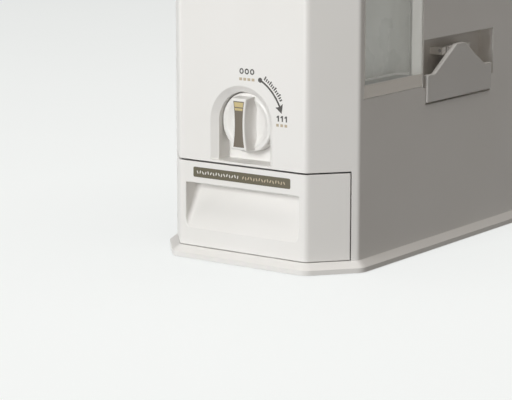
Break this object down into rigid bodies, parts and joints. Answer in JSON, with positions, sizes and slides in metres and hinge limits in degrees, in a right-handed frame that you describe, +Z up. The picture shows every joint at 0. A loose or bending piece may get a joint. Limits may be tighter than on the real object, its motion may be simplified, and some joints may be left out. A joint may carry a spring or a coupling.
{
  "type": "rice dispenser with drawer",
  "caption": "Tall countertop rice dispenser with chamfered front, arched recess with a turn knob, pull-out drawer with sloped scoop, side window, fold-out carry handles and hinged lid.",
  "frame": {"origin": "middle of the footprint, on the surface that the feet stand on", "axes": "+Z up, the front with the knob and drawer faces -Y, +X is the side with the window"},
  "size_m": [0.203, 0.368, 0.385],
  "materials": {
    "ivory_abs": "fine satin moulded ABS",
    "inner_white": "plain moulded ABS",
    "acetal": "waxy acetal",
    "pocket_dark": "dark textured plastic",
    "rubber_grey": "matt rubber",
    "steel": "zinc plated steel",
    "clear_tank": "clear polycarbonate",
    "window_clear": "clear acrylic",
    "liner_grey": "smoke grey gloss plastic",
    "inlay_taupe": "satin printed film",
    "gold_foil": "satin gold foil",
    "strip_olive": "satin film"
  },
  "bodies": {
    "casing": {"base_plinth": "ivory_abs", "rubber_feet": "rubber_grey", "body_shell": "ivory_abs", "plinth_screws": "steel", "back_panel": "ivory_abs", "back_screws": "steel", "front_bush": "acetal", "drum_housing": "inner_white", "shaft_seal": "rubber_grey", "housing_cover": "inner_white", "rear_bush": "acetal", "rice_chute": "inner_white", "divider_plate": "inner_white", "housing_screws": "steel", "drawer_rail_right": "inner_white", "drawer_rail_left": "inner_white", "drawer_stop": "inner_white", "stop_bumpers": "rubber_grey", "tank_shelf": "inner_white", "rice_tank": "clear_tank", "hopper_funnel": "inner_white", "side_window": "window_clear", "window_liner": "liner_grey", "handle_pocket_right": "pocket_dark", "handle_pocket_left": "pocket_dark", "handle_pin_right": "steel", "handle_pin_left": "steel", "top_frame": "ivory_abs", "lid_hinge_pins": "steel", "frame_screws": "steel"},
    "dial": {"knob": "ivory_abs", "knob_inlay": "inlay_taupe", "knob_marks": "gold_foil", "drum_shaft": "steel", "metering_drum": "acetal"},
    "drawer": {"drawer_front": "ivory_abs", "drawer_strip": "strip_olive", "drawer_tray": "inner_white", "drawer_screws": "steel"},
    "lid_unit": {"lid": "ivory_abs", "lid_seal": "rubber_grey", "desiccant_box": "inner_white", "desiccant_cap": "inner_white"},
    "grip_right": {"handle_right": "ivory_abs"},
    "grip_left": {"handle_left": "ivory_abs"}
  },
  "joints": [
    {"name": "knob_turn", "type": "hinge", "parent": "casing", "child": "dial", "pos_m": [0, -0.1, 0.1204], "axis": [0, 1, 0], "range_deg": [0, 90]},
    {"name": "drawer_slide", "type": "slide", "parent": "casing", "child": "drawer", "axis": [0, -1, 0], "range_m": [0, 0.165]},
    {"name": "lid_hinge", "type": "hinge", "parent": "casing", "child": "lid_unit", "pos_m": [0, 0.1635, 0.379], "axis": [-1, 0, 0], "range_deg": [0, 95]},
    {"name": "handle_right_swing", "type": "hinge", "parent": "casing", "child": "grip_right", "pos_m": [0.0895, 0.0165, 0.171], "axis": [0, -1, 0], "range_deg": [0, 85]},
    {"name": "handle_left_swing", "type": "hinge", "parent": "casing", "child": "grip_left", "pos_m": [-0.0895, 0.0165, 0.171], "axis": [0, 1, 0], "range_deg": [0, 85]}
  ]
}
